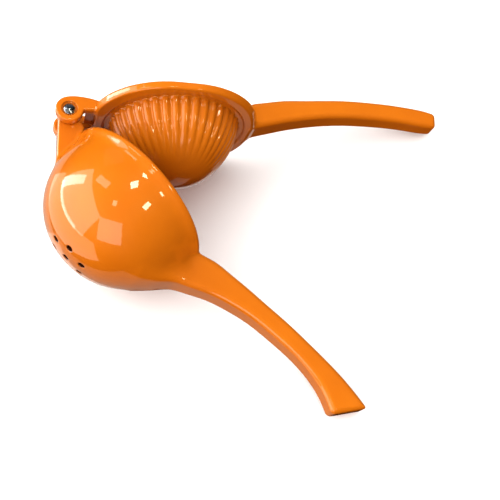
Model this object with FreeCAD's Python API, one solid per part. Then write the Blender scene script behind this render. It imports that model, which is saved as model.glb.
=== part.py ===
import FreeCAD, Part
import math
import os

# Hinged citrus squeezer: two cast arms that cross-pivot on one steel pin.
# One arm ends in a perforated bowl, the other in a fluted pressing cup.
# Both arms are drawn in one shared arm frame, in millimetres:
#   X = s, along the closed squeezer, 0 at the pin and growing to the handle tips
#   Y = d, across the handles, + on the press arm's side
#   Z = w, along the pin, + towards the pin head that faces up at rest
# They are drawn closed, opened about the pin, and laid on one side as they rest.

V = FreeCAD.Vector

# ---------------------------------------------------------------- dimensions
OPEN_DEG = 47.2          # opening between the arms at rest
CUP_S = 61.5             # pin axis to the axis of bowl and cup
RIM_D = -1.75            # plane of the bowl's rim
FACE_GAP = 0.4           # air between rim and flange when closed

BOWL_RIM_R = 48.0        # outer radius of the rim bead
BOWL_R = 45.9            # outer radius of the bowl wall
BOWL_H = 55.3            # depth of the bowl outside
BOWL_P = 2.6             # fullness of its outline
BOWL_RI = 42.4           # the same three inside
BOWL_HI = 51.8
BOWL_RIM_LAND = 43.4

DRAIN_D = 3.6            # drain holes: one in the middle and a ring of six
DRAIN_RING_R = 11.3
DRAIN_RING_N = 6

FLANGE_W = 46.9          # half width of the cup's flange, along the pin
FLANGE_REACH = (49.0, 48.4)  # its reach from the cup's axis towards the hinge and the handle
FLANGE_CORNER = 44.0     # radius of its four full corners
FLANGE_CUT = 14.7        # flat on the hinge side, clear of the lug
FLANGE_T = 4.8           # its thickness
FLANGE_EDGE = 1.1        # rounding of its edges
DOME_R = 38.2            # fluted dome: radius, height and fullness
DOME_H = 36.7
DOME_P = 1.5
DOME_SINK = 1.3          # the dome starts in a shallow groove behind the flange face
GROOVE_R = 41.4
FLUTES = 40
FLUTE_DEPTH = 1.5        # crest to valley at the root, fading to nothing near the pole
CUP_RI = 33.6            # hollow behind the dome
CUP_HI = 31.2

EAR_R = 7.7              # rounded ends of the two ears
EAR_OUT = 13.4           # outer and inner faces of the ears, from the middle plane
EAR_IN = 8.1
NECK_D = -0.2            # underside of the ears' necks
NECK_FILLET = 1.6
# bridge that joins the two necks above the lug, as (s, d) points
BRIDGE = [(9.4, 2.9), (12.6, 2.4), (17.0, 2.4), (20.0, 4.2), (16.0, 5.9), (12.6, 6.3), (9.9, 6.0)]
LUG_R = 5.9              # rounded end of the bowl arm's lug
LUG_HALF = 7.8

PIN_R = 2.4              # pin shank
PIN_CLEAR = 0.05         # running clearance in the lug
PIN_HEAD_R = 3.6
PIN_HEAD_H = 1.7
HEAD_SEAT = 1.3          # seat for each head in the ear faces
HEAD_SEAT_R = 4.5

HANDLE_R = 3.2           # rounding along the handles
TIP_R = 2.2              # rounding of the handle ends

# lines of the handles: inner point (s, d), outer point (s, d), width
BOWL_HANDLE = [
    ((96.0, -2.6), (96.0, -36.0), 25.0),
    ((104.5, -2.75), (103.9, -30.9), 20.9),
    ((110.5, -1.15), (110.3, -25.1), 18.5),
    ((118.0, 1.6), (118.7, -20.1), 17.2),
    ((128.0, 3.3), (128.5, -14.6), 16.4),
    ((140.0, 4.9), (140.4, -9.9), 15.9),
    ((155.0, 6.4), (155.7, -5.8), 15.4),
    ((170.0, 7.9), (170.9, -3.8), 15.0),
    ((185.0, 8.7), (185.8, -2.7), 14.5),
    ((199.0, 9.2), (197.9, -3.1), 14.0),
    ((212.0, 9.2), (207.2, -4.6), 13.6),
    ((224.0, 8.4), (215.3, -7.2), 13.2),
    ((235.5, 7.0), (223.2, -10.9), 12.9),
]
PRESS_HANDLE = [
    ((105.6, -1.0), (104.2, 13.2), 20.0),
    ((111.0, 0.8), (108.4, 16.1), 18.0),
    ((119.0, 3.1), (116.6, 18.5), 17.0),
    ((130.0, 6.3), (128.2, 21.1), 16.3),
    ((142.0, 9.2), (140.6, 22.6), 15.8),
    ((156.0, 11.8), (155.2, 24.2), 15.4),
    ((170.0, 13.4), (169.6, 25.6), 14.9),
    ((185.0, 14.1), (185.2, 26.1), 14.4),
    ((200.0, 14.1), (200.6, 26.0), 13.9),
    ((214.0, 13.3), (215.0, 25.2), 13.4),
    ((225.0, 12.3), (226.0, 24.0), 13.0),
    ((233.0, 12.1), (234.0, 22.2), 12.7),
]

# attitude at rest: the object lies on its bowl rim, its flange and a handle tip
REST_NORMAL = (-0.235966, 0.107761, 0.965768)    # the floor's normal in the arm frame
REST_SHIFT = (-107.0794, 69.7723, 62.1271)       # puts the origin under the box's middle


# ---------------------------------------------------------------- helpers
def spline(points, t0=None, t1=None):
    c = Part.BSplineCurve()
    if t0 is None:
        c.interpolate(Points=points)
    else:
        c.interpolate(Points=points, InitialTangent=t0, FinalTangent=t1)
    return c.toShape()


def revolve(edges):
    face = Part.Face(Part.Wire(Part.__sortEdges__(edges)))
    return face.revolve(V(CUP_S, 0, 0), V(0, 1, 0), 360)


def fullness(r, h, p, phi):
    """Point of a bowl outline: radius and depth at the angle phi, in degrees."""
    a = math.radians(phi)
    return r * math.cos(a), h * math.sin(a) ** (2.0 / p)


def rounded_section(inner, outer, width, rc):
    """Rounded rectangle spanning inner to outer point and the given width."""
    ax, ay = inner
    bx, by = outer
    n = math.hypot(bx - ax, by - ay)
    ux, uy = (bx - ax) / n, (by - ay) / n
    hw = width / 2.0
    k = rc * (1 - math.sqrt(0.5))

    def p(t, w):
        return V(ax + ux * t, ay + uy * t, w)
    return Part.Wire([
        Part.LineSegment(p(rc, hw), p(n - rc, hw)).toShape(),
        Part.Arc(p(n - rc, hw), p(n - k, hw - k), p(n, hw - rc)).toShape(),
        Part.LineSegment(p(n, hw - rc), p(n, -hw + rc)).toShape(),
        Part.Arc(p(n, -hw + rc), p(n - k, -hw + k), p(n - rc, -hw)).toShape(),
        Part.LineSegment(p(n - rc, -hw), p(rc, -hw)).toShape(),
        Part.Arc(p(rc, -hw), p(k, -hw + k), p(0, -hw + rc)).toShape(),
        Part.LineSegment(p(0, -hw + rc), p(0, hw - rc)).toShape(),
        Part.Arc(p(0, hw - rc), p(k, hw - k), p(rc, hw)).toShape(),
    ])


def handle(rows):
    """Handle swept through its sections, its end rounded over."""
    wires = [rounded_section(a, b, w, HANDLE_R) for a, b, w in rows]
    body = Part.makeLoft(wires, True, False)
    end = max(body.Faces, key=lambda f: f.CenterOfMass.x if f.Area < 400 else -1)
    try:
        body = body.makeFillet(TIP_R, end.Edges)
    except Exception as exc:
        print("handle end left sharp:", exc)
    return body


def one_solid(shape, name):
    if shape.ShapeType != "Solid":
        if len(shape.Solids) != 1:
            raise RuntimeError("%s has %d solids" % (name, len(shape.Solids)))
        shape = shape.Solids[0]
    if not shape.isValid():
        print(name, "is not valid")
    return shape


def round_edges(shape, name, radius, pick):
    """Fillet the picked edges, first together and then one by one."""
    edges = [e for e in shape.Edges if pick(e)]
    if not edges:
        print(name, ": nothing to round")
        return shape
    try:
        out = shape.makeFillet(radius, edges)
        if out.isValid() and len(out.Solids) == 1:
            print(name, ": rounded", len(edges), "edges at", radius)
            return out
    except Exception as exc:
        print(name, ": rounding together failed:", exc)
    return shape


# ---------------------------------------------------------------- bowl arm
def make_bowl_arm():
    d0 = RIM_D

    def at(r, h):
        return V(CUP_S + r, d0 - h, 0)
    # outline outside, from the rim bead to the pole
    pts = [at(BOWL_RIM_R, 1.9), at(BOWL_RIM_R - 0.35, 3.4), at(BOWL_RIM_R - 1.15, 5.4)]
    for phi in (8, 14, 20, 27, 34, 42, 50, 58, 66, 74, 82, 90):
        r, h = fullness(BOWL_R, BOWL_H, BOWL_P, phi)
        if h > 7.5:
            pts.append(at(r, h))
    wall = spline(pts, V(0, -1, 0), V(-1, 0, 0))
    lip = Part.Arc(at(BOWL_RIM_R - 1.9, 0), at(BOWL_RIM_R - 0.557, 0.557), at(BOWL_RIM_R, 1.9)).toShape()
    top = Part.LineSegment(at(0, 0), at(BOWL_RIM_R - 1.9, 0)).toShape()
    axis = Part.LineSegment(at(0, BOWL_H), at(0, 0)).toShape()
    outside = revolve([top, lip, wall, axis])

    # hollow inside, run out above the rim
    pts = [at(BOWL_RI, 1.0)]
    for phi in (10, 17, 24, 31, 38, 46, 54, 62, 70, 80, 90):
        r, h = fullness(BOWL_RI, BOWL_HI, BOWL_P, phi)
        pts.append(at(r, h))
    inner = spline(pts, V(0, -1, 0), V(-1, 0, 0))
    mouth = Part.Arc(at(BOWL_RI + 1.0, 0), at(BOWL_RI + 0.293, 0.293), at(BOWL_RI, 1.0)).toShape()
    up = Part.LineSegment(at(BOWL_RI + 1.0, 0), at(BOWL_RI + 1.0, -20)).toShape()
    lid = Part.LineSegment(at(BOWL_RI + 1.0, -20), at(0, -20)).toShape()
    axis = Part.LineSegment(at(0, -20), at(0, BOWL_HI)).toShape()
    hollow = revolve([mouth, inner, axis, lid, up])

    # lug: rounded end about the pin, web running down the bowl's flank
    a1, a2 = math.radians(62.0), math.radians(226.2)
    p1 = V(LUG_R * math.cos(a1), LUG_R * math.sin(a1), 0)
    p2 = V(LUG_R * math.cos(a2), LUG_R * math.sin(a2), 0)
    mid = (a1 + a2) / 2.0
    pm = V(LUG_R * math.cos(mid), LUG_R * math.sin(mid), 0)
    foot = V(22.6, -29.75, 0)
    inside = V(30.0, -27.0, 0)
    brow = [p1, V(6.05, 3.0, 0), V(8.8, 1.7, 0), V(11.6, 1.0, 0), V(13.3, -0.6, 0), V(15.2, RIM_D - 1.2, 0)]
    brow_t = V(math.sin(a1), -math.cos(a1), 0)
    edges = [
        Part.Arc(p1, pm, p2).toShape(),
        Part.LineSegment(p2, foot).toShape(),
        Part.LineSegment(foot, inside).toShape(),
        Part.LineSegment(inside, V(30.0, RIM_D - 1.2, 0)).toShape(),
        Part.LineSegment(V(30.0, RIM_D - 1.2, 0), brow[-1]).toShape(),
        spline(brow, brow_t, V(1, -0.25, 0)),
    ]
    plate = Part.Face(Part.Wire(Part.__sortEdges__(edges)))
    plate.translate(V(0, 0, -LUG_HALF))
    lug = plate.extrude(V(0, 0, 2 * LUG_HALF))

    def outline_edge(e):
        # the long edges around both side faces, clear of the bowl's inside
        if abs(abs(e.CenterOfMass.z) - LUG_HALF) > 0.01:
            return False
        return e.CenterOfMass.x < 14.5
    lug = round_edges(lug, "lug outline", 1.3, outline_edge)

    grip = handle(BOWL_HANDLE)
    arm = outside.fuse([lug, grip]).removeSplitter()
    arm = one_solid(arm, "bowl_arm")

    def root_edge(e):
        # where the handle runs into the bowl
        c = e.CenterOfMass
        return e.Length > 1.5 and c.y < RIM_D - 0.2 and 97.0 < c.x < 110.0 and near_bowl(e)

    def near_bowl(e):
        for v in e.Vertexes:
            r = math.hypot(v.X - CUP_S, v.Z)
            h = min(max((RIM_D - v.Y) / BOWL_H, 0.0), 1.0)
            if abs(r - BOWL_R * math.sqrt(1 - h ** BOWL_P)) > 2.4:
                return False
        return True
    arm2 = round_edges(arm, "bowl root", 3.0, root_edge)
    arm = one_solid(arm2, "bowl_arm")
    arm = arm.cut(hollow)

    drill = [Part.makeCylinder(DRAIN_D / 2.0, 12, V(CUP_S, RIM_D - BOWL_H - 3, 0), V(0, 1, 0))]
    for i in range(DRAIN_RING_N):
        a = math.radians(90.0 + 360.0 * i / DRAIN_RING_N)
        drill.append(Part.makeCylinder(
            DRAIN_D / 2.0, 14,
            V(CUP_S + DRAIN_RING_R * math.cos(a), RIM_D - BOWL_H - 3, DRAIN_RING_R * math.sin(a)),
            V(0, 1, 0)))
    drill.append(Part.makeCylinder(PIN_R + PIN_CLEAR, 40, V(0, 0, -20), V(0, 0, 1)))
    arm = arm.cut(drill)
    return one_solid(arm, "bowl_arm")


# ---------------------------------------------------------------- press arm
def flute_wire(h):
    """Closed wavy section of the dome at the depth h below its root."""
    x = h / DOME_H
    r = DOME_R * math.sqrt(max(0.0, 1 - x ** DOME_P))
    # full depth near the root, dying out on the upper third
    fade = 1.0 if x < 0.35 else max(0.0, 1 - ((x - 0.35) / 0.5)) ** 1.3
    start = min(1.0, 0.35 + h / 2.0)
    depth = FLUTE_DEPTH * fade * start * min(1.0, r / DOME_R + 0.15)
    n = FLUTES * 6
    pts = []
    for i in range(n):
        a = 2 * math.pi * i / n
        # rounded crests with narrower valleys
        c = 0.5 + 0.5 * math.cos(FLUTES * a)
        k = 1 - (1 - c) ** 1.6
        rr = r - depth * (1 - k)
        pts.append(V(CUP_S + rr * math.cos(a), RIM_D + DOME_SINK + FACE_GAP - h, rr * math.sin(a)))
    c = Part.BSplineCurve()
    c.interpolate(Points=pts, PeriodicFlag=True)
    return Part.Wire([c.toShape()])


def make_press_arm():
    face = RIM_D + FACE_GAP
    back = face + FLANGE_T

    def at(r, d):
        return V(CUP_S + r, d, 0)
    # flange: full-cornered plate with rounded edges and a flat by the lug
    r = FLANGE_CORNER
    q = r * math.sqrt(0.5)
    x0, x1 = CUP_S - FLANGE_REACH[0] + r, CUP_S + FLANGE_REACH[1] - r
    z = FLANGE_W - r
    ring = [
        Part.LineSegment(V(x1 + r, face, -z), V(x1 + r, face, z)).toShape(),
        Part.Arc(V(x1 + r, face, z), V(x1 + q, face, z + q), V(x1, face, z + r)).toShape(),
        Part.LineSegment(V(x1, face, z + r), V(x0, face, z + r)).toShape(),
        Part.Arc(V(x0, face, z + r), V(x0 - q, face, z + q), V(x0 - r, face, z)).toShape(),
        Part.LineSegment(V(x0 - r, face, z), V(x0 - r, face, -z)).toShape(),
        Part.Arc(V(x0 - r, face, -z), V(x0 - q, face, -z - q), V(x0, face, -z - r)).toShape(),
        Part.LineSegment(V(x0, face, -z - r), V(x1, face, -z - r)).toShape(),
        Part.Arc(V(x1, face, -z - r), V(x1 + q, face, -z - q), V(x1 + r, face, -z)).toShape(),
    ]
    flange = Part.Face(Part.Wire(ring)).extrude(V(0, FLANGE_T, 0))
    flange = round_edges(flange, "flange", FLANGE_EDGE,
                         lambda e: min(abs(e.CenterOfMass.y - face), abs(e.CenterOfMass.y - back)) < 1e-6)
    flange = flange.cut(Part.makeBox(20, 40, 120, V(FLANGE_CUT - 20, -20, -60)))
    # shallow recess around the dome's root
    flange = flange.cut(revolve([
        Part.LineSegment(at(0, face - 5), at(GROOVE_R + 0.9, face - 5)).toShape(),
        Part.LineSegment(at(GROOVE_R + 0.9, face - 5), at(GROOVE_R + 0.9, face)).toShape(),
        Part.LineSegment(at(GROOVE_R + 0.9, face), at(GROOVE_R - 0.4, face + DOME_SINK)).toShape(),
        Part.LineSegment(at(GROOVE_R - 0.4, face + DOME_SINK), at(0, face + DOME_SINK)).toShape(),
        Part.LineSegment(at(0, face + DOME_SINK), at(0, face - 5)).toShape(),
    ]))

    levels = [-0.4, 1.2, 3.2, 6.0, 9.5, 13.0, 16.5, 20.0, 23.5, 27.0, 30.0, 32.4]
    wires = [flute_wire(max(h, 0.0)) for h in levels]
    wires[0].translate(V(0, 0.4, 0))
    dome = Part.makeLoft(wires, True, False)
    # smooth pole above the last section
    x = levels[-1] / DOME_H
    r_top = DOME_R * math.sqrt(1 - x ** DOME_P)
    base = face + DOME_SINK
    pts = []
    steps = 8
    for k in range(steps + 1):
        hh = levels[-1] - 0.02 + (DOME_H - levels[-1] + 0.02) * math.sin(math.pi / 2 * k / steps)
        xx = min(1.0, hh / DOME_H)
        pts.append(at(DOME_R * math.sqrt(max(0.0, 1 - xx ** DOME_P)), base - hh))
    cap_curve = spline(pts)
    cap = revolve([
        cap_curve,
        Part.LineSegment(pts[-1], at(0, base - levels[-1] + 2)).toShape(),
        Part.LineSegment(at(0, base - levels[-1] + 2), at(pts[0].x - CUP_S - 2.0, base - levels[-1] + 2)).toShape(),
        Part.LineSegment(at(pts[0].x - CUP_S - 2.0, base - levels[-1] + 2), pts[0]).toShape(),
    ])

    # hollow behind the dome
    pts = [at(CUP_RI, base - 1.0)]
    for phi in (12, 22, 32, 42, 52, 62, 72, 81, 90):
        r, h = fullness(CUP_RI, CUP_HI, 1.75, phi)
        pts.append(at(r, base - 1.0 - h))
    inner = spline(pts, V(0, -1, 0), V(-1, 0, 0))
    wall = Part.LineSegment(at(CUP_RI, base - 1.0), at(CUP_RI, back - 1.5)).toShape()
    flare = Part.Arc(at(CUP_RI, back - 1.5), at(CUP_RI + 0.44, back - 0.44), at(CUP_RI + 1.5, back)).toShape()
    up = Part.LineSegment(at(CUP_RI + 1.5, back), at(CUP_RI + 1.5, back + 20)).toShape()
    lid = Part.LineSegment(at(CUP_RI + 1.5, back + 20), at(0, back + 20)).toShape()
    axis = Part.LineSegment(at(0, back + 20), pts[-1]).toShape()
    hollow = revolve([inner, wall, flare, up, lid, axis])

    # two ears: rounded ends about the pin, necks running onto the flange's back
    a1 = math.radians(118.0)
    cx = math.sqrt((EAR_R + NECK_FILLET) ** 2 - (NECK_D - NECK_FILLET) ** 2)
    a2 = math.atan2(NECK_D - NECK_FILLET, cx) + 2 * math.pi
    p1 = V(EAR_R * math.cos(a1), EAR_R * math.sin(a1), 0)
    p2 = V(EAR_R * math.cos(a2), EAR_R * math.sin(a2), 0)
    mid = (a1 + a2) / 2.0
    pm = V(EAR_R * math.cos(mid), EAR_R * math.sin(mid), 0)
    ca = (a2 + math.pi + math.pi / 2 + 2 * math.pi) / 2.0
    cm = V(cx + NECK_FILLET * math.cos(ca), NECK_D - NECK_FILLET + NECK_FILLET * math.sin(ca), 0)
    n1 = V(cx, NECK_D, 0)
    n2 = V(26.0, NECK_D, 0)
    # over the ear: a full back that falls to the flange
    over = [V(26.0, back - 0.1, 0), V(21.5, back + 1.6, 0), V(16.5, 6.4, 0), V(12.5, 7.45, 0),
            V(8.0, 8.1, 0), V(3.2, 8.3, 0), V(-0.6, 7.85, 0), p1]
    edges = [
        Part.Arc(p1, pm, p2).toShape(),
        Part.Arc(p2, cm, n1).toShape(),
        Part.LineSegment(n1, n2).toShape(),
        Part.LineSegment(n2, over[0]).toShape(),
        spline(over, V(-0.9, 0.4, 0), V(-math.sin(a1), math.cos(a1), 0)),
    ]
    plate = Part.Face(Part.Wire(Part.__sortEdges__(edges)))
    ears = []
    for sign in (1, -1):
        z0 = EAR_IN if sign > 0 else -EAR_OUT
        ear = plate.copy()
        ear.translate(V(0, 0, z0))
        ear = ear.extrude(V(0, 0, EAR_OUT - EAR_IN))

        def rim(e, s=sign):
            return abs(e.CenterOfMass.z - s * EAR_OUT) < 0.01 and e.CenterOfMass.x < 24
        ear = round_edges(ear, "ear outline", 1.2, rim)
        ears.append(ear)

    reach = EAR_IN + 1.5
    block = [V(a, b, -reach) for a, b in BRIDGE]
    bridge = Part.Face(Part.makePolygon(block + block[:1])).extrude(V(0, 0, 2 * reach))

    grip = handle(PRESS_HANDLE)
    arm = flange.fuse([dome, cap, grip, bridge] + ears).removeSplitter()
    arm = one_solid(arm, "press_arm")

    def root_edge(e):
        # where the handle stands up from the flange's back
        c = e.CenterOfMass
        return abs(c.y - back) < 1.3 and 103.0 < c.x < 109.5 and abs(c.z) < 10.2 and e.Length > 1.5
    arm = round_edges(arm, "press root", 2.0, root_edge)
    arm = one_solid(arm, "press_arm")
    arm = arm.cut(hollow)

    drill = [Part.makeCylinder(PIN_R, 40, V(0, 0, -20), V(0, 0, 1))]
    for z in (EAR_OUT - HEAD_SEAT, -EAR_OUT - 5):
        drill.append(Part.makeCylinder(HEAD_SEAT_R, 5 + HEAD_SEAT, V(0, 0, z), V(0, 0, 1)))
    arm = arm.cut(drill)
    return one_solid(arm, "press_arm")


# ---------------------------------------------------------------- pin
def make_pin():
    seat = EAR_OUT - HEAD_SEAT
    # low domed heads: spherical caps with a short straight edge
    edge = 0.35
    cap = PIN_HEAD_H - edge
    ball = (PIN_HEAD_R ** 2 + cap ** 2) / (2 * cap)
    half = math.asin(PIN_HEAD_R / ball) / 2.0
    top = seat + PIN_HEAD_H
    m = (ball * math.sin(half), top - ball + ball * math.cos(half))

    def at(r, z):
        return V(r, 0, z)
    rows = [
        Part.LineSegment(at(0, -top), at(0, top)).toShape(),
        Part.Arc(at(0, top), at(*m), at(PIN_HEAD_R, seat + edge)).toShape(),
        Part.LineSegment(at(PIN_HEAD_R, seat + edge), at(PIN_HEAD_R, seat)).toShape(),
        Part.LineSegment(at(PIN_HEAD_R, seat), at(PIN_R, seat)).toShape(),
        Part.LineSegment(at(PIN_R, seat), at(PIN_R, -seat)).toShape(),
        Part.LineSegment(at(PIN_R, -seat), at(PIN_HEAD_R, -seat)).toShape(),
        Part.LineSegment(at(PIN_HEAD_R, -seat), at(PIN_HEAD_R, -seat - edge)).toShape(),
        Part.Arc(at(PIN_HEAD_R, -seat - edge), at(m[0], -m[1]), at(0, -top)).toShape(),
    ]
    face = Part.Face(Part.Wire(rows))
    return one_solid(face.revolve(V(0, 0, 0), V(0, 0, 1), 360), "hinge_pin")


# ---------------------------------------------------------------- attitude
def lay_down(shape, opened):
    """From the closed arm frame to the part's frame, lying as it rests."""
    out = shape.copy()
    if opened:
        out.rotate(V(0, 0, 0), V(0, 0, 1), -OPEN_DEG)
    up = V(*REST_NORMAL)
    up.normalize()
    turn = FreeCAD.Rotation(up, V(0, 0, 1))
    axis = turn.Axis
    out.rotate(V(0, 0, 0), axis, math.degrees(turn.Angle))
    out.translate(V(*REST_SHIFT))
    return out


def main():
    os.makedirs("parts", exist_ok=True)
    bowl = make_bowl_arm()
    press = make_press_arm()
    pin = make_pin()
    for name, shape, opened in (("bowl_arm", bowl, True), ("press_arm", press, False), ("hinge_pin", pin, False)):
        print(name, "volume %.0f" % shape.Volume, "valid", shape.isValid(), "faces", len(shape.Faces))
        placed = lay_down(shape, opened)
        box = placed.BoundBox
        print("    x %.2f %.2f  y %.2f %.2f  z %.2f %.2f" % (
            box.XMin, box.XMax, box.YMin, box.YMax, box.ZMin, box.ZMax))
        placed.exportStep("parts/%s.step" % name)


main()
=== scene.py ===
import math
import bpy
import numpy as np
from mathutils import Matrix, Vector


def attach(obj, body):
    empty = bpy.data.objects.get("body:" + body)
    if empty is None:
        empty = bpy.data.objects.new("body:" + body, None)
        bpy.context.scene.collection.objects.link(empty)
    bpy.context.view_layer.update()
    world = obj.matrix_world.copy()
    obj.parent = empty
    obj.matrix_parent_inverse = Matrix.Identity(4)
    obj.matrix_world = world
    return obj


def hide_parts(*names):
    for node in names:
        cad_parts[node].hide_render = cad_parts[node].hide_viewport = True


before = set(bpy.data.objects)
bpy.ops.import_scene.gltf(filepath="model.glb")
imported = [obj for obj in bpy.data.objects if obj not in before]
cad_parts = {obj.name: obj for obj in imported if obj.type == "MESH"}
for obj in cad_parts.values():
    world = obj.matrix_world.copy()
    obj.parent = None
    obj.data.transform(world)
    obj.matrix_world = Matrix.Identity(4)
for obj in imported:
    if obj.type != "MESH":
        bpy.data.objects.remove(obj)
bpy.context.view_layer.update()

# ---------------------------------------------------------------- dimensions
# The castings are drawn in their own closed frame, in millimetres: s along the
# squeezer from the pin, d across the handles, w along the pin.
OPEN_DEG = 47.2
REST_NORMAL = (-0.235966, 0.107761, 0.965768)
REST_SHIFT = (-107.0794, 69.7723, 62.1271)
CUP_S = 61.5
RIM_D = -1.75
FACE_GAP = 0.4

BOWL_RIM_R = 48.0
BOWL_R = 45.9
BOWL_H = 55.3
BOWL_P = 2.6
BOWL_RI = 42.4
BOWL_HI = 51.8
DRAIN_D = 3.6
DRAIN_RING_R = 11.3
DRAIN_RING_N = 6

FLANGE_W = 46.9
FLANGE_BACK = (49.0, 49.2)     # reach of the flange's back edge to the hinge and to the handle
FLANGE_FACE = (48.4, 46.4)     # and of its front edge
FLANGE_CORNER = 44.0
FLANGE_CUT = 14.7
FLANGE_EDGE = 1.3
FLANGE_T = 4.8
DOME_R = 38.2
DOME_H = 36.7
DOME_P = 1.5
DOME_SINK = 1.3
GROOVE_R = 41.4
FLUTES = 40
FLUTE_DEPTH = 1.5
CUP_RI = 33.6
CUP_HI = 31.2

EAR_R = 7.7
EAR_OUT = 13.4
EAR_IN = 8.1
NECK_D = -0.2
NECK_FILLET = 1.6
BRIDGE = [(9.4, 2.9), (12.6, 2.4), (17.0, 2.4), (20.0, 4.2), (16.0, 5.9), (12.6, 6.3), (9.9, 6.0)]
LUG_R = 5.9
LUG_HALF = 7.8
PIN_R = 2.4
PIN_CLEAR = 0.05
PIN_HEAD_R = 3.6
PIN_HEAD_H = 1.7
HEAD_SEAT = 1.3
HEAD_SEAT_R = 4.5

BOWL_HANDLE = [
    ((96.0, -2.6), (96.0, -36.0), 25.0),
    ((104.5, -2.75), (103.9, -30.9), 20.9),
    ((110.5, -1.15), (110.3, -25.1), 18.5),
    ((118.0, 1.6), (118.7, -20.1), 17.2),
    ((128.0, 3.3), (128.5, -14.6), 16.4),
    ((140.0, 4.9), (140.4, -9.9), 15.9),
    ((155.0, 6.4), (155.7, -5.8), 15.4),
    ((170.0, 7.9), (170.9, -3.8), 15.0),
    ((185.0, 8.7), (185.8, -2.7), 14.5),
    ((199.0, 9.2), (197.9, -3.1), 14.0),
    ((212.0, 9.2), (207.2, -4.6), 13.6),
    ((224.0, 8.4), (215.3, -7.2), 13.2),
    ((235.5, 7.0), (223.2, -10.9), 12.9),
]
PRESS_HANDLE = [
    ((105.6, -1.0), (104.2, 13.2), 20.0),
    ((111.0, 0.8), (108.4, 16.1), 18.0),
    ((119.0, 3.1), (116.6, 18.5), 17.0),
    ((130.0, 6.3), (128.2, 21.1), 16.3),
    ((142.0, 9.2), (140.6, 22.6), 15.8),
    ((156.0, 11.8), (155.2, 24.2), 15.4),
    ((170.0, 13.4), (169.6, 25.6), 14.9),
    ((185.0, 14.1), (185.2, 26.1), 14.4),
    ((200.0, 14.1), (200.6, 26.0), 13.9),
    ((214.0, 13.3), (215.0, 25.2), 13.4),
    ((225.0, 12.3), (226.0, 24.0), 13.0),
    ((233.0, 12.1), (234.0, 22.2), 12.7),
]

FACE = RIM_D + FACE_GAP
BACK = FACE + FLANGE_T
BASE = FACE + DOME_SINK
FINE = 1.0     # coarser meshes while other pieces are worked on


# ---------------------------------------------------------------- outlines
def curve(points, step=0.2, t0=None, t1=None):
    """Smooth curve through the points, as a dense row of points."""
    p = np.asarray(points, float)
    n = len(p)
    h = np.hypot(*np.diff(p, axis=0).T)
    a = np.zeros((n, n))
    b = np.zeros((n, 2))
    for i in range(1, n - 1):
        a[i, i - 1] = h[i]
        a[i, i] = 2 * (h[i - 1] + h[i])
        a[i, i + 1] = h[i - 1]
        b[i] = 3 * (h[i] * (p[i] - p[i - 1]) / h[i - 1] + h[i - 1] * (p[i + 1] - p[i]) / h[i])
    if t0 is None:
        a[0, 0], a[0, 1] = 2, 1
        b[0] = 3 * (p[1] - p[0]) / h[0]
    else:
        a[0, 0] = 1
        b[0] = np.asarray(t0, float) / np.hypot(*t0)
    if t1 is None:
        a[-1, -1], a[-1, -2] = 2, 1
        b[-1] = 3 * (p[-1] - p[-2]) / h[-1]
    else:
        a[-1, -1] = 1
        b[-1] = np.asarray(t1, float) / np.hypot(*t1)
    m = np.linalg.solve(a, b)
    out = [p[:1]]
    for i in range(n - 1):
        k = max(2, int(math.ceil(h[i] / step)))
        t = (np.arange(1, k + 1) / k)[:, None]
        out.append((2 * t ** 3 - 3 * t ** 2 + 1) * p[i] + (t ** 3 - 2 * t ** 2 + t) * h[i] * m[i]
                   + (-2 * t ** 3 + 3 * t ** 2) * p[i + 1] + (t ** 3 - t ** 2) * h[i] * m[i + 1])
    return np.concatenate(out)


def arc(cx, cy, r, a0, a1, step=0.12):
    n = max(6, int(abs(a1 - a0) * r / step))
    a = np.linspace(a0, a1, n)
    return np.stack([cx + r * np.cos(a), cy + r * np.sin(a)], 1)


def soft_corner(p0, corner, p1, c, n=14):
    """Rounded corner: leaves the first side c before the corner and joins the second c after it."""
    p0, q, p1 = (np.asarray(v, float) for v in (p0, corner, p1))
    a = q + (p0 - q) / np.linalg.norm(p0 - q) * c
    b = q + (p1 - q) / np.linalg.norm(p1 - q) * c
    t = np.linspace(0, 1, n)[:, None]
    return (1 - t) ** 2 * a + 2 * t * (1 - t) * q + t ** 2 * b


def mirrored(half):
    """Closed outline of a turned body from its half outline, which starts and ends on the axis."""
    half = np.asarray(half, float)
    return np.concatenate([half, (half * (-1, 1))[::-1][1:-1]])


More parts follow.
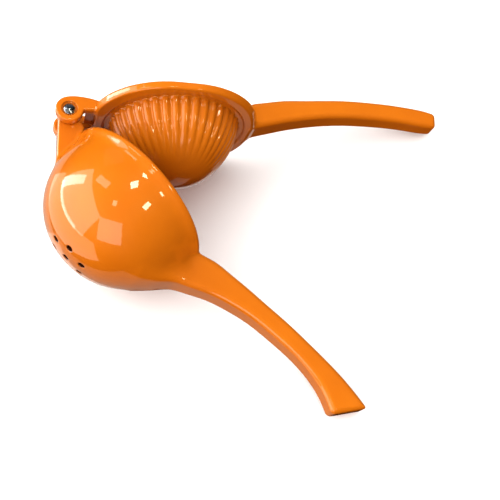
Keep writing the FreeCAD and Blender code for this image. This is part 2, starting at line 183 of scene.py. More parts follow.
class Outline:
    """Signed distance to a closed outline, tabulated on a fine grid, negative inside."""

    def __init__(self, pts, lo, hi, step=0.25):
        pts = np.asarray(pts, float)
        keep = np.hypot(*(pts - np.roll(pts, 1, 0)).T) > 1e-6
        pts = pts[keep]
        self.lo, self.step = np.asarray(lo, float), step
        nx, ny = (int(math.ceil((hi[i] - lo[i]) / step)) + 1 for i in (0, 1))
        x = (lo[0] + step * np.arange(nx)).astype(np.float32)[:, None]
        y = (lo[1] + step * np.arange(ny)).astype(np.float32)[None, :]
        best = np.full((nx, ny), 1e12, np.float32)
        inside = np.zeros((nx, ny), bool)
        for (ax, ay), (bx, by) in zip(pts, np.roll(pts, -1, 0)):
            ux, uy = bx - ax, by - ay
            l2 = ux * ux + uy * uy
            px, py = x - np.float32(ax), y - np.float32(ay)
            t = np.clip((px * np.float32(ux) + py * np.float32(uy)) / np.float32(l2), 0, 1)
            best = np.minimum(best, (px - t * np.float32(ux)) ** 2 + (py - t * np.float32(uy)) ** 2)
            if (ay > by) != (ay < by):
                rows = (y[0] >= min(ay, by)) & (y[0] < max(ay, by))
                if rows.any():
                    cross = ax + (y[0][rows] - ay) * (ux / uy)
                    inside[:, rows] ^= x < cross[None, :].astype(np.float32)
        self.table = np.sqrt(best) * np.where(inside, -1, 1).astype(np.float32)

    def __call__(self, x, y):
        nx, ny = self.table.shape
        fx = np.clip((x - self.lo[0]) / self.step, 0, nx - 1.001)
        fy = np.clip((y - self.lo[1]) / self.step, 0, ny - 1.001)
        i, j = fx.astype(np.int32), fy.astype(np.int32)
        fx, fy = fx - i, fy - j
        t = self.table.ravel()
        k = i * ny + j
        return ((t[k] * (1 - fy) + t[k + 1] * fy) * (1 - fx)
                + (t[k + ny] * (1 - fy) + t[k + ny + 1] * fy) * fx)


def fullness(r, h, p, phi):
    a = np.radians(phi)
    return r * np.cos(a), h * np.sin(a) ** (2.0 / p)


def side_outline(rows, tip_round):
    """Side view of a handle from its inner and outer points, with a rounded end."""
    inner = curve([a for a, b, w in rows], 0.4)
    outer = curve([b for a, b, w in rows], 0.4)
    ri, ro = tip_round

    def cut(line, c):
        d = np.hypot(*(line - line[-1]).T)
        k = len(line) - 1
        while d[k] < c:
            k -= 1
        return line[:k + 1]
    a, b = inner[-1], outer[-1]
    keep_i, keep_o = cut(inner, ri), cut(outer, ro)
    corner_i = soft_corner(keep_i[-1], a, b, ri)
    corner_o = soft_corner(a, b, keep_o[-1], ro)
    return np.concatenate([keep_i[:-1], corner_i, corner_o, keep_o[:-1][::-1]])


def half_widths(rows):
    line = curve([(0.5 * (a[0] + b[0]), 0.5 * w) for a, b, w in rows], 0.5)
    return lambda s: np.interp(s, line[:, 0], line[:, 1])


# bowl, outside and inside, as half outlines of radius and depth below the rim
_pts = [(BOWL_RIM_R, 1.9), (BOWL_RIM_R - 0.35, 3.3), (BOWL_RIM_R - 1.15, 4.9), (BOWL_RIM_R - 1.85, 6.8), (BOWL_RIM_R - 2.28, 9.3)]
for _phi in (8, 14, 20, 27, 34, 42, 50, 58, 66, 74, 82, 90):
    _r, _h = fullness(BOWL_R, BOWL_H, BOWL_P, _phi)
    if _h > 7.5:
        _pts.append((_r, _h))
_lip = arc(BOWL_RIM_R - 1.9, 1.9, 1.9, -math.pi / 2, 0)
BOWL_OUT = Outline(mirrored(np.concatenate([[(0, 0)], _lip, curve(_pts, 0.15, (0, 1), (-1, 0))])),
                   (-2.0, -14.0), (62.0, 68.0))
_pts = [(BOWL_RI, 1.0)] + [fullness(BOWL_RI, BOWL_HI, BOWL_P, _phi) for _phi in (10, 17, 24, 31, 38, 46, 54, 62, 70, 80, 90)]
_mouth = arc(BOWL_RI + 1.0, 1.0, 1.0, -math.pi / 2, -math.pi)
BOWL_IN = Outline(mirrored(np.concatenate([[(0, -20), (BOWL_RI + 1.0, -20)], _mouth, curve(_pts, 0.15, (0, 1), (-1, 0))])),
                  (-2.0, -14.0), (62.0, 68.0))

# lug of the bowl arm
_a1, _a2 = math.radians(62.0), math.radians(226.2)
_end = arc(0, 0, LUG_R, _a1, _a2)
_foot, _inside = (22.6, -29.75), (30.0, -27.0)
_brow = curve([_end[0], (6.05, 3.0), (8.8, 1.7), (11.6, 1.0), (13.3, -0.6), (15.2, RIM_D - 1.2)], 0.2,
              (math.sin(_a1), -math.cos(_a1)), (1, -0.25))
LUG = Outline(np.concatenate([_end, [_foot, _inside, (30.0, RIM_D - 1.2)], _brow[::-1]]), (-16, -46), (40, 18), 0.2)

# handles
BOWL_SIDE = Outline(side_outline(BOWL_HANDLE, (2.6, 3.0)), (86, -48), (246, 22), 0.25)
BOWL_HALF = half_widths(BOWL_HANDLE)
PRESS_SIDE = Outline(side_outline(PRESS_HANDLE, (2.6, 3.2)), (94, -14), (246, 38), 0.25)
PRESS_HALF = half_widths(PRESS_HANDLE)

# dome and the hollow behind it, as half outlines of radius and place along d (depth for the dome)
_x = np.linspace(0, 1, 260) ** 0.8
_x = 1 - (1 - _x) ** 1.6
_half = np.concatenate([[(0, -3.0), (DOME_R, -3.0)],
                        np.stack([DOME_R * np.sqrt(np.clip(1 - _x ** DOME_P, 0, 1)), DOME_H * _x], 1)])
DOME = Outline(mirrored(_half), (-2.0, -12.0), (56.0, 48.0), 0.2)
_pts = [(CUP_RI, BASE - 1.0)]
for _phi in (12, 22, 32, 42, 52, 62, 72, 81, 90):
    _r, _h = fullness(CUP_RI, CUP_HI, 1.75, _phi)
    _pts.append((_r, BASE - 1.0 - _h))
_wall = arc(CUP_RI + 1.5, BACK - 1.5, 1.5, math.pi / 2, math.pi)
_half = np.concatenate([[(0, BACK + 20), (CUP_RI + 1.5, BACK + 20)], _wall, curve(_pts, 0.15, (0, -1), (-1, 0))])
CUP = Outline(mirrored(_half), (-2.0, -42.0), (60.0, 26.0), 0.25)

# ears of the press arm
_a1 = math.radians(118.0)
_cx = math.sqrt((EAR_R + NECK_FILLET) ** 2 - (NECK_D - NECK_FILLET) ** 2)
_a2 = math.atan2(NECK_D - NECK_FILLET, _cx) + 2 * math.pi
_end = arc(0, 0, EAR_R, _a1, _a2)
_neck = arc(_cx, NECK_D - NECK_FILLET, NECK_FILLET, _a2 + math.pi, 5 * math.pi / 2)
_over = curve([(26.0, BACK - 0.1), (21.5, BACK + 1.6), (16.5, 6.4), (12.5, 7.45), (8.0, 8.1), (3.2, 8.3), (-0.6, 7.85),
               _end[0]], 0.2, (-0.9, 0.4), (-math.sin(_a1), math.cos(_a1)))
EAR = Outline(np.concatenate([_end, _neck, [(26.0, NECK_D)], _over]), (-16, -18), (36, 18), 0.2)
WEB = Outline(BRIDGE, (-16, -18), (36, 18), 0.2)


# ---------------------------------------------------------------- solids as signed distances
def smin(a, b, k):
    h = np.maximum(k - np.abs(a - b), 0) / k
    return np.minimum(a, b) - h * h * h * k * (1 / 6.0)


def smax(a, b, k):
    h = np.maximum(k - np.abs(a - b), 0) / k
    return np.maximum(a, b) + h * h * h * k * (1 / 6.0)


def rounded(a, b, rc):
    """Edge between two faces rounded at rc."""
    a, b = a + rc, b + rc
    return np.minimum(np.maximum(a, b), 0) + np.hypot(np.maximum(a, 0), np.maximum(b, 0)) - rc


def ramp(x, a, b):
    t = np.clip((x - a) / (b - a), 0, 1)
    return t * t * (3 - 2 * t)


def bowl_arm(p):
    s, d, w = p
    r = np.hypot(s - CUP_S, w)
    h = RIM_D - d
    body = BOWL_OUT(r, h)
    grip = rounded(BOWL_SIDE(s, d), np.abs(w) - BOWL_HALF(s), 3.2)
    # tight under the rim, wide down the flank
    body = smin(body, grip, 2.5 + 11.0 * ramp(h, 2.5, 15.0))
    # the handle's root stays under the rim, clear of the closed flange
    body = smax(body, np.where(s > CUP_S, -h - 0.75 * np.maximum(r - 48.7, 0.0), -99.0), 0.4)
    lug = rounded(LUG(s, d), np.abs(w) - LUG_HALF, 1.5)
    body = smin(body, lug, 3.6)
    body = smax(body, -BOWL_IN(r, h), 0.6)
    low = np.nonzero(h > 40)[0]
    if len(low):
        x, z = s[low] - CUP_S, w[low]
        hole = np.hypot(x, z)
        for i in range(DRAIN_RING_N):
            a = math.radians(90.0 + 360.0 * i / DRAIN_RING_N)
            hole = np.minimum(hole, np.hypot(x - DRAIN_RING_R * math.cos(a), z - DRAIN_RING_R * math.sin(a)))
        body[low] = smax(body[low], DRAIN_D / 2 - hole, 1.0)
    return smax(body, PIN_R + PIN_CLEAR - np.hypot(s, d), 0.5)


def flange(x, d, w, r):
    """Full-cornered plate whose side leans out to the back, with a recess around the dome's root."""
    t = np.clip((d - FACE) / FLANGE_T, 0, 1)
    c = FLANGE_CORNER
    reach = np.where(x < 0, FLANGE_FACE[0] + (FLANGE_BACK[0] - FLANGE_FACE[0]) * t,
                     FLANGE_FACE[1] + (FLANGE_BACK[1] - FLANGE_FACE[1]) * t)
    a, b = np.abs(x) - (reach - c), np.abs(w) - (FLANGE_W - c)
    side = np.hypot(np.maximum(a, 0), np.maximum(b, 0)) + np.minimum(np.maximum(a, b), 0) - c
    side = smax(side, FLANGE_CUT - CUP_S - x, 1.0)
    plate = rounded(side, np.abs(d - 0.5 * (FACE + BACK)) - 0.5 * FLANGE_T, FLANGE_EDGE)
    # recess: a shallow cone-edged pan
    pan = smax(0.707 * (r - GROOVE_R - 0.9 + (d - FACE)), d - BASE, 0.5)
    return smax(plate, -pan, 0.5)


def press_arm(p):
    s, d, w = p
    x = s - CUP_S
    r = np.hypot(x, w)
    body = flange(x, d, w, r)
    h = BASE - d
    u = h / DOME_H
    fade = np.clip(1 - (u - 0.38) / 0.5, 0, 1) ** 1.3
    depth = FLUTE_DEPTH * fade * np.clip(0.35 + h / 2.0, 0.0, 1.0) * np.clip(r / DOME_R + 0.15, 0, 1)
    c = 0.5 + 0.5 * np.cos(FLUTES * np.arctan2(w, x))
    body = smin(body, DOME(r + depth * (1 - c) ** 1.6, h), 0.8)
    grip = rounded(PRESS_SIDE(s, d), np.abs(w) - PRESS_HALF(s), 3.2)
    body = smin(body, grip, 3.4)
    ear = rounded(EAR(s, d), np.abs(np.abs(w) - 0.5 * (EAR_OUT + EAR_IN)) - 0.5 * (EAR_OUT - EAR_IN), 1.15)
    body = smin(body, ear, 2.4)
    web = rounded(WEB(s, d) + 0.1, np.abs(w) - EAR_IN - 1.5, 0.6)
    body = smin(body, web, 0.9)
    body = smax(body, -CUP(r, d), 0.6)
    bore = np.hypot(s, d)
    body = smax(body, PIN_R - bore, 0.3)
    seat = np.maximum(bore - HEAD_SEAT_R, EAR_OUT - HEAD_SEAT - np.abs(w))
    return smax(body, -seat, 0.35)


# ---------------------------------------------------------------- meshing
def lines(*spans):
    """Grid lines: (from, to, step) spans laid end to end."""
    out = []
    for a, b, st in spans:
        n = max(1, int(round((b - a) / (st * FINE))))
        out.append(np.linspace(a, b, n, endpoint=False))
    return np.append(np.concatenate(out), spans[-1][1]).astype(np.float64)


def sample(field, gx, gy, gz, block=8):
    """Field values on the grid, exact near the surface and only right in sign elsewhere."""
    nx, ny, nz = len(gx), len(gy), len(gz)
    out = np.empty((nx, ny, nz), np.float32)
    ix = [(i, min(i + block, nx)) for i in range(0, nx, block)]
    iy = [(i, min(i + block, ny)) for i in range(0, ny, block)]
    iz = [(i, min(i + block, nz)) for i in range(0, nz, block)]

    def mid(g, spans):
        return (np.array([0.5 * (g[a] + g[b - 1]) for a, b in spans]),
                np.array([0.5 * (g[b - 1] - g[a]) for a, b in spans]))
    (mx, hx), (my, hy), (mz, hz) = mid(gx, ix), mid(gy, iy), mid(gz, iz)
    cx, cy, cz = np.meshgrid(mx, my, mz, indexing="ij")
    rx, ry, rz = np.meshgrid(hx, hy, hz, indexing="ij")
    reach = np.sqrt(rx ** 2 + ry ** 2 + rz ** 2) * 1.25 + 3.0
    value = field((cx.ravel(), cy.ravel(), cz.ravel())).reshape(cx.shape)
    near = np.abs(value) < reach
    batch = []

    def flush():
        if not batch:
            return
        pts = []
        for a, b, c in batch:
            x, y, z = np.meshgrid(gx[slice(*ix[a])], gy[slice(*iy[b])], gz[slice(*iz[c])], indexing="ij")
            pts.append((x.ravel(), y.ravel(), z.ravel()))
        v = field(tuple(np.concatenate([q[k] for q in pts]) for k in range(3)))
        at = 0
        for (a, b, c), q in zip(batch, pts):
            n = len(q[0])
            sx, sy, sz = slice(*ix[a]), slice(*iy[b]), slice(*iz[c])
            out[sx, sy, sz] = v[at:at + n].reshape(sx.stop - sx.start, sy.stop - sy.start, sz.stop - sz.start)
            at += n
        batch.clear()
    for a in range(len(ix)):
        for b in range(len(iy)):
            for c in range(len(iz)):
                if near[a, b, c]:
                    batch.append((a, b, c))
                    if len(batch) >= 400:
                        flush()
                else:
                    out[slice(*ix[a]), slice(*iy[b]), slice(*iz[c])] = value[a, b, c]
    flush()
    return out


def slope(field, p, e=0.2):
    g = []
    for k in range(3):
        q = [v.copy() for v in p]
        q[k] += e
        a = field(tuple(q))
        q[k] -= 2 * e
        g.append((a - field(tuple(q))) / (2 * e))
    return np.stack(g, 1)


def skin(field, gx, gy, gz):
    """Closed quad mesh of the field's zero surface, its points moved onto the surface."""
    f = sample(field, gx, gy, gz)
    f[f == 0] = 1e-6
    neg = f < 0
    shape = tuple(n - 1 for n in f.shape)

    def corner(a, i, j, k):
        return a[i:i + shape[0], j:j + shape[1], k:k + shape[2]]
    count = np.zeros(shape, np.int8)
    for i in (0, 1):
        for j in (0, 1):
            for k in (0, 1):
                count += corner(neg, i, j, k)
    cells = np.argwhere((count > 0) & (count < 8))
    ids = np.full(shape, -1, np.int64)
    ids[tuple(cells.T)] = np.arange(len(cells))
    ci, cj, ck = cells.T
    total = np.zeros((len(cells), 3))
    hits = np.zeros(len(cells))
    corners = [(i, j, k) for i in (0, 1) for j in (0, 1) for k in (0, 1)]
    val = {c: f[ci + c[0], cj + c[1], ck + c[2]].astype(float) for c in corners}
    pos = {c: np.stack([gx[ci + c[0]], gy[cj + c[1]], gz[ck + c[2]]], 1) for c in corners}
    for c in corners:
        for axis in range(3):
            if c[axis] == 0:
                e = list(c)
                e[axis] = 1
                e = tuple(e)
                a, b = val[c], val[e]
                m = (a < 0) != (b < 0)
                t = np.where(m, a / np.where(m, a - b, 1), 0)[:, None]
                total += np.where(m[:, None], pos[c] * (1 - t) + pos[e] * t, 0)
                hits += m
    verts = total / hits[:, None]

    quads = []
    for axis in range(3):
        o = [k for k in range(3) if k != axis]
        lo = [slice(None)] * 3
        hi = [slice(None)] * 3
        lo[axis], hi[axis] = slice(0, -1), slice(1, None)
        a, b = neg[tuple(lo)], neg[tuple(hi)]
        flip = a != b
        inner = [slice(None)] * 3
        for k in o:
            inner[k] = slice(1, -1)
        at = np.argwhere(flip[tuple(inner)])
        for k in o:
            at[:, k] += 1
        out_ = b[tuple(at.T)]

        def cell(du, dv):
            q = at.copy()
            q[:, o[0]] += du
            q[:, o[1]] += dv
            return ids[tuple(q.T)]
        ring = np.stack([cell(-1, -1), cell(0, -1), cell(0, 0), cell(-1, 0)], 1)
        turn = out_ if axis != 1 else ~out_
        ring[turn] = ring[turn][:, ::-1]
        quads.append(ring)
    quads = np.concatenate(quads)

    for e in (0.25, 0.15, 0.1):
        p = tuple(verts.T.copy())
        g = slope(field, p, e)
        v = field(p)
        n2 = np.maximum((g ** 2).sum(1), 0.25)
        step = -(v / n2)[:, None] * g
        size = np.maximum(np.linalg.norm(step, axis=1, keepdims=True), 1e-9)
        verts = verts + step * np.minimum(1, 0.5 / size)
    g = slope(field, tuple(verts.T.copy()), 0.22)
    normals = g / np.maximum(np.linalg.norm(g, axis=1, keepdims=True), 1e-9)
    return verts, quads, normals


def turn_z(deg):
    a = math.radians(deg)
    return np.array([[math.cos(a), -math.sin(a), 0], [math.sin(a), math.cos(a), 0], [0, 0, 1]])


def lay():
    n = np.array(REST_NORMAL)
    n /= np.linalg.norm(n)
    v = np.cross(n, (0, 0, 1.0))
    k = np.array([[0, -v[2], v[1]], [v[2], 0, -v[0]], [-v[1], v[0], 0]])
    return np.eye(3) + k + k @ k / (1 + n[2])


LAY = lay()
PRESS_TURN = LAY
BOWL_TURN = LAY @ turn_z(-OPEN_DEG)


def to_row(v, turn):
    return (v @ turn.T + np.array(REST_SHIFT)) / 1000.0


def make_object(name, verts, faces, normals, turn):
    """Mesh object from arrays; faces may have any number of corners if given as a list."""
    me = bpy.data.meshes.new(name)
    v = to_row(np.asarray(verts, float), turn)
    if isinstance(faces, np.ndarray):
        n, m = faces.shape
        me.vertices.add(len(v))
        me.vertices.foreach_set("co", v.astype(np.float32).ravel())
        me.loops.add(n * m)
        me.loops.foreach_set("vertex_index", faces.astype(np.int32).ravel())
        me.polygons.add(n)
        me.polygons.foreach_set("loop_start", np.arange(0, n * m, m, dtype=np.int32))
        me.polygons.foreach_set("loop_total", np.full(n, m, np.int32))
        me.update(calc_edges=True)
    else:
        me.from_pydata(v.tolist(), [], [list(map(int, q)) for q in faces])
        me.update()
    me.validate()
    me.polygons.foreach_set("use_smooth", np.ones(len(me.polygons), bool))
    if normals is not None:
        nn = np.asarray(normals) @ turn.T
        me.normals_split_custom_set_from_vertices(nn.astype(np.float32).tolist())
    ob = bpy.data.objects.new(name, me)
    bpy.context.scene.collection.objects.link(ob)
    return ob


# ---------------------------------------------------------------- materials
def new_material(name):
    m = bpy.data.materials.new(name)
    m.use_nodes = True
    nt = m.node_tree
    for n in list(nt.nodes):
        nt.nodes.remove(n)
    out = nt.nodes.new("ShaderNodeOutputMaterial")
    bsdf = nt.nodes.new("ShaderNodeBsdfPrincipled")
    nt.links.new(bsdf.outputs["BSDF"], out.inputs["Surface"])
    return m, nt, bsdf


def noise(nt, coord, scale, detail=2.0, rough=0.5):
    n = nt.nodes.new("ShaderNodeTexNoise")
    n.inputs["Scale"].default_value = scale
    n.inputs["Detail"].default_value = detail
    n.inputs["Roughness"].default_value = rough
    nt.links.new(coord, n.inputs["Vector"])
    return n.outputs["Fac"]


def spread(nt, value, lo, hi, a=0.3, b=0.7):
    n = nt.nodes.new("ShaderNodeMapRange")
    n.inputs["From Min"].default_value = a
    n.inputs["From Max"].default_value = b
    n.inputs["To Min"].default_value = lo
    n.inputs["To Max"].default_value = hi
    nt.links.new(value, n.inputs["Value"])
    return n.outputs["Result"]


def colours(nt, fac, stops):
    n = nt.nodes.new("ShaderNodeValToRGB")
    el = n.color_ramp.elements
    while len(el) < len(stops):
        el.new(0.5)
    for e, (at, c) in zip(el, stops):
        e.position = at
        e.color = (*c, 1)
    nt.links.new(fac, n.inputs["Fac"])
    return n.outputs["Color"]


def enamel(name, seed, paint_hole_shade=False):
    """Glossy orange enamel on a casting: thin gloss coat, faint ripple, faint drift of colour, and painted shade in
    the drain holes if asked.
    """
    m, nt, b = new_material(name)
    tc = nt.nodes.new("ShaderNodeTexCoord")
    mp = nt.nodes.new("ShaderNodeMapping")
    mp.inputs["Location"].default_value = (seed * 0.37, seed * 0.11, seed * 0.23)
    nt.links.new(tc.outputs["Object"], mp.inputs["Vector"])
    v = mp.outputs["Vector"]
    drift = noise(nt, v, 28.0, 3.0, 0.55)
    col = colours(nt, drift, [(0.30, (0.600, 0.178, 0.0050)), (0.52, (0.625, 0.192, 0.0058)), (0.74, (0.650, 0.206, 0.0066))])
    if paint_hole_shade:
        # painted shade: the drain holes' walls are painted near black, standing in for the shade inside the holes
        at = nt.nodes.new("ShaderNodeAttribute")
        at.attribute_name = "hole"
        mx = nt.nodes.new("ShaderNodeMix")
        mx.data_type = "RGBA"
        nt.links.new(at.outputs["Fac"], mx.inputs[0])
        nt.links.new(col, mx.inputs[6])
        mx.inputs[7].default_value = (0.06, 0.012, 0.001, 1)
        col = mx.outputs[2]
    nt.links.new(col, b.inputs["Base Color"])
    nt.links.new(spread(nt, noise(nt, v, 90.0, 4.0, 0.6), 0.30, 0.40), b.inputs["Roughness"])
    b.inputs["Specular IOR Level"].default_value = 0.16
    b.inputs["Coat Weight"].default_value = 1.0
    b.inputs["Coat Roughness"].default_value = 0.035
    b.inputs["Coat IOR"].default_value = 1.68
    # ripple of the coat: long soft waves with a finer peel
    wave = noise(nt, v, 190.0, 1.0, 0.4)
    peel = noise(nt, v, 620.0, 1.0, 0.4)
    b1 = nt.nodes.new("ShaderNodeBump")
    b1.inputs["Strength"].default_value = 0.5
    b1.inputs["Distance"].default_value = 0.00003
    nt.links.new(wave, b1.inputs["Height"])
    b2 = nt.nodes.new("ShaderNodeBump")
    b2.inputs["Strength"].default_value = 0.35
    b2.inputs["Distance"].default_value = 0.000015
    nt.links.new(peel, b2.inputs["Height"])
    nt.links.new(b1.outputs["Normal"], b2.inputs["Normal"])
    nt.links.new(b2.outputs["Normal"], b.inputs["Normal"])
    nt.links.new(b2.outputs["Normal"], b.inputs["Coat Normal"])
    return m


def steel(name):
    """Bright steel with faint smudges in its colour and roughness."""
    m, nt, b = new_material(name)
    tc = nt.nodes.new("ShaderNodeTexCoord")
    v = tc.outputs["Object"]
    b.inputs["Metallic"].default_value = 1.0
    col = colours(nt, noise(nt, v, 300.0, 3.0), [(0.3, (0.70, 0.71, 0.73)), (0.7, (0.84, 0.85, 0.86))])
    nt.links.new(col, b.inputs["Base Color"])
    nt.links.new(spread(nt, noise(nt, v, 900.0, 4.0, 0.6), 0.24, 0.32), b.inputs["Roughness"])
    return m


# ---------------------------------------------------------------- pieces
def build_bowl_arm():
    gx = lines((-8.4, 14.0, 0.62), (14.0, 46.0, 0.95), (46.0, 77.0, 0.66), (77.0, 112.0, 0.95), (112.0, 222.0, 1.35), (222.0, 238.0, 0.8))
    gy = lines((-58.2, -45.0, 0.6), (-45.0, -9.0, 0.98), (-9.0, 11.4, 0.66))
    gz = lines((-49.2, -15.0, 0.98), (-15.0, 15.0, 0.66), (15.0, 49.2, 0.98))
    v, q, n = skin(bowl_arm, gx, gy, gz)
    ob = make_object("bowl_arm_enamelled", v, q, n, BOWL_TURN)
    v = np.asarray(v)
    near = np.hypot(v[:, 0] - CUP_S, v[:, 2])
    for i in range(DRAIN_RING_N):
        a = math.radians(90.0 + 360.0 * i / DRAIN_RING_N)
        near = np.minimum(near, np.hypot(v[:, 0] - CUP_S - DRAIN_RING_R * math.cos(a), v[:, 2] - DRAIN_RING_R * math.sin(a)))
    # painted shade: mask of the drain-hole walls, which the bowl's enamel paints near black for the shade inside the
    # holes
    hole = np.clip((DRAIN_D / 2.0 + 0.3 - near) / 0.25, 0.0, 1.0) * (v[:, 1] < RIM_D - 40.0)
    ob.data.attributes.new("hole", "FLOAT", "POINT").data.foreach_set("value", hole.astype(np.float32))
    ob.data.materials.append(enamel("orange_enamel_bowl", 1.0, True))
    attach(ob, "bowl_side")
    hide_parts("bowl_arm")
    return ob


def build_press_arm():
    gx = lines((-9.0, 20.0, 0.55), (20.0, 104.0, 0.72), (104.0, 114.0, 0.8), (114.0, 226.0, 1.35), (226.0, 237.2, 0.8))
    gy = lines((-37.6, 5.0, 0.7), (5.0, 28.8, 0.8))
    gz = lines((-48.6, -14.6, 0.74), (-14.6, -7.2, 0.5), (-7.2, 7.2, 0.78), (7.2, 14.6, 0.5), (14.6, 48.6, 0.74))
    v, q, n = skin(press_arm, gx, gy, gz)
    ob = make_object("press_arm_enamelled", v, q, n, PRESS_TURN)
    ob.data.materials.append(enamel("orange_enamel_press", 2.0))
    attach(ob, "press_side")
    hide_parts("press_arm")
    return ob


def build_pin():
    """Pin with two low domed heads, turned."""
    seat = EAR_OUT - HEAD_SEAT
    edge = 0.35
    cap = PIN_HEAD_H - edge
    ball = (PIN_HEAD_R ** 2 + cap ** 2) / (2 * cap)
    top = seat + PIN_HEAD_H
    full = math.asin(PIN_HEAD_R / ball)
    half = [(0.0, top)]
    for a in np.linspace(0, full * 0.93, 15)[1:]:
        half.append((ball * math.sin(a), top - ball + ball * math.cos(a)))
    half += [(PIN_HEAD_R - 0.05, seat + edge - 0.02), (PIN_HEAD_R, seat + edge - 0.12), (PIN_HEAD_R, seat + 0.06),
             (PIN_HEAD_R - 0.06, seat), (PIN_R + 0.12, seat), (PIN_R, seat - 0.12), (PIN_R, seat - 2.0), (PIN_R, 0.0)]
    prof = half + [(r, -z) for r, z in half[::-1][1:]]
    n = 72
    verts, faces = [(0.0, 0.0, top)], []
    rings = prof[1:-1]
    for r, z in rings:
        for k in range(n):
            a = 2 * math.pi * k / n
            verts.append((r * math.cos(a), r * math.sin(a), z))
    verts.append((0.0, 0.0, -top))
    last = len(verts) - 1
    for k in range(n):
        faces.append((0, 1 + k, 1 + (k + 1) % n))
        base = 1 + (len(rings) - 1) * n
        faces.append((last, base + (k + 1) % n, base + k))
    for i in range(len(rings) - 1):
        a, b = 1 + i * n, 1 + (i + 1) * n
        for k in range(n):
            faces.append((a + k, b + k, b + (k + 1) % n, a + (k + 1) % n))
    ob = make_object("hinge_pin_steel", verts, faces, None, PRESS_TURN)
    ob.data.materials.append(steel("bright_steel"))
    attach(ob, "press_side")
    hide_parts("hinge_pin")
    return ob


bowl = build_bowl_arm()
press = build_press_arm()
pin = build_pin()

# ---------------------------------------------------------------- floor
def build_floor():
    me = bpy.data.meshes.new("floor")
    r, z = 2.6, 0.0
    n = 64
    verts = [(0, 0, z)] + [(r * math.cos(2 * math.pi * k / n), r * math.sin(2 * math.pi * k / n), z) for k in range(n)]
    me.from_pydata(verts, [], [(0, 1 + k, 1 + (k + 1) % n) for k in range(n)])
    ob = bpy.data.objects.new("floor", me)
    bpy.context.scene.collection.objects.link(ob)
    m, nt, b = new_material("pale_floor")
    b.inputs["Base Color"].default_value = (0.93, 0.925, 0.92, 1)
    b.inputs["Roughness"].default_value = 0.65
    b.inputs["Specular IOR Level"].default_value = 0.2
    ob.data.materials.append(m)
    # the castings neither mirror the floor nor take its colour
    ob.visible_glossy = False
    ob.visible_diffuse = False
    return ob


build_floor()

# ---------------------------------------------------------------- camera
# The view is fitted to the photograph: a pinhole at 850 pixels to the 500-pixel frame.
CAM_TURN = (0.172, -0.273, 0.063)
CAM_T = (-104.335, -74.865, 487.014)


def build_camera():
    rx = np.array(CAM_TURN)
    a = np.linalg.norm(rx)
    k = rx / a
    kk = np.array([[0, -k[2], k[1]], [k[2], 0, -k[0]], [-k[1], k[0], 0]])
    rot = np.eye(3) + math.sin(a) * kk + (1 - math.cos(a)) * kk @ kk
    e = math.radians(60)
    fwd = np.array([0, math.cos(e), -math.sin(e)])
    right = np.array([1.0, 0, 0])
    down = np.cross(fwd, right)
    rot = rot @ np.stack([right, down, fwd])
    centre = -rot.T @ np.array(CAM_T)
    centre = (LAY @ centre + np.array(REST_SHIFT)) / 1000.0
    right, down, fwd = (LAY @ rot[i] for i in range(3))
    cam = bpy.data.cameras.new("camera")
    ob = bpy.data.objects.new("camera", cam)
    bpy.context.scene.collection.objects.link(ob)
    m = Matrix.Identity(4)
    for i in range(3):
        m[i][0], m[i][1], m[i][2], m[i][3] = right[i], -down[i], -fwd[i], centre[i]
    ob.matrix_world = m
    cam.sensor_fit = "HORIZONTAL"
    cam.sensor_width = 36.0
    cam.lens = 850.0 * 36.0 / 500.0
    cam.clip_start = 0.01
    cam.clip_end = 20.0
    bpy.context.scene.camera = ob
    return ob


camera = build_camera()

# ---------------------------------------------------------------- light
SPOT = Vector((-0.08, 0.0, 0.085))      # the panels are placed around this point of the bowl


def panel(name, azimuth, height, size, bright, colour=(1, 1, 1), dist=1.2, gloss=True, diffuse=True, roll=0.0):
    """Soft rectangular light in a direction from the bowl; bright is its radiance."""
    a, h = math.radians(azimuth), math.radians(height)
    away = Vector((math.cos(a) * math.cos(h), math.sin(a) * math.cos(h), math.sin(h)))
    lt = bpy.data.lights.new(name, "AREA")
    lt.shape = "RECTANGLE"
    lt.size, lt.size_y = size[0] * dist, size[1] * dist
    lt.energy = math.pi * bright * lt.size * lt.size_y
    lt.color = colour
    ob = bpy.data.objects.new(name, lt)
    bpy.context.scene.collection.objects.link(ob)
    ob.location = SPOT + away * dist
    q = (-away).to_track_quat("-Z", "Y")
    ob.rotation_euler = (q.to_matrix() @ Matrix.Rotation(math.radians(roll), 3, "Z")).to_euler()
    ob.visible_camera = False
    ob.visible_glossy = gloss
    ob.visible_diffuse = diffuse
    return ob


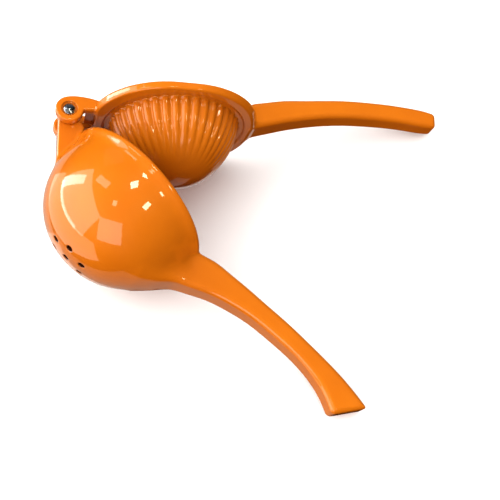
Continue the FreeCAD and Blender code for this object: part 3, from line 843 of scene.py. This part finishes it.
def build_world():
    """Even pale light from above, almost none from below."""
    w = bpy.data.worlds.new("room")
    bpy.context.scene.world = w
    w.use_nodes = True
    nt = w.node_tree
    bg = nt.nodes["Background"]
    tc = nt.nodes.new("ShaderNodeTexCoord")
    sep = nt.nodes.new("ShaderNodeSeparateXYZ")
    nt.links.new(tc.outputs["Generated"], sep.inputs["Vector"])
    fac = spread(nt, sep.outputs["Z"], 0.0, 1.0, -0.35, 0.45)
    col = colours(nt, fac, [(0.0, (0.50, 0.20, 0.10)), (0.5, (0.60, 0.55, 0.52)), (1.0, (1.0, 0.99, 0.985))])
    nt.links.new(col, bg.inputs["Color"])
    bg.inputs["Strength"].default_value = 0.81
    w.cycles_visibility.glossy = False


def build_light():
    build_world()
    # what the coat mirrors
    panel("window", 181.0, 26.0, (1.45, 1.02), 2.3, (0.90, 0.93, 1.0), diffuse=False)
    panel("window_sky", 152.0, 20.0, (0.20, 0.66), 5.5, (0.84, 0.95, 1.0), diffuse=False)
    panel("window_edge", 176.0, 2.0, (1.0, 0.09), 4.0, (0.88, 0.97, 1.0), diffuse=False)
    panel("upper_window", 150.0, 64.0, (0.16, 0.36), 2.6, (0.90, 0.93, 1.0), diffuse=False, roll=-20.0)
    panel("front_window", -111.0, 27.0, (0.60, 0.62), 2.2, (0.84, 0.90, 1.0), diffuse=False)
    panel("lamp_top", 9.0, 75.0, (0.15, 0.14), 14.0, (1.0, 0.97, 0.84), diffuse=False)
    panel("lamp_side", -36.5, 48.3, (0.15, 0.12), 13.0, (1.0, 0.97, 0.80), diffuse=False)
    panel("lamp_small", -113.0, 68.7, (0.10, 0.13), 4.5, (1.0, 0.95, 0.85), diffuse=False)
    panel("bounce", 186.0, -16.0, (2.0, 0.66), 1.55, (1.0, 0.95, 0.92), diffuse=False)
    panel("ground", -140.0, -64.0, (1.4, 0.8), 0.5, (1.0, 0.92, 0.86), diffuse=False)
    panel("ground_back", 95.0, -52.0, (2.4, 1.3), 0.7, (1.0, 0.93, 0.88), diffuse=False)
    panel("sky_back", 80.0, 34.0, (1.1, 0.9), 0.16, (0.62, 0.80, 1.0), diffuse=False)
    # what lights the enamel and the floor
    panel("window_fill", 181.0, 30.0, (1.5, 1.2), 2.0, (1.0, 0.975, 0.95), gloss=False)
    panel("front_fill", -111.0, 35.0, (1.3, 1.2), 1.2, (1.0, 0.97, 0.94), gloss=False)
    panel("overhead", 60.0, 74.0, (1.8, 1.8), 1.15, (1.0, 0.99, 0.98), dist=1.6, gloss=False)


build_light()

sc = bpy.context.scene
sc.view_settings.view_transform = "Standard"
sc.view_settings.look = "None"
sc.view_settings.exposure = 0.0
sc.view_settings.gamma = 0.8
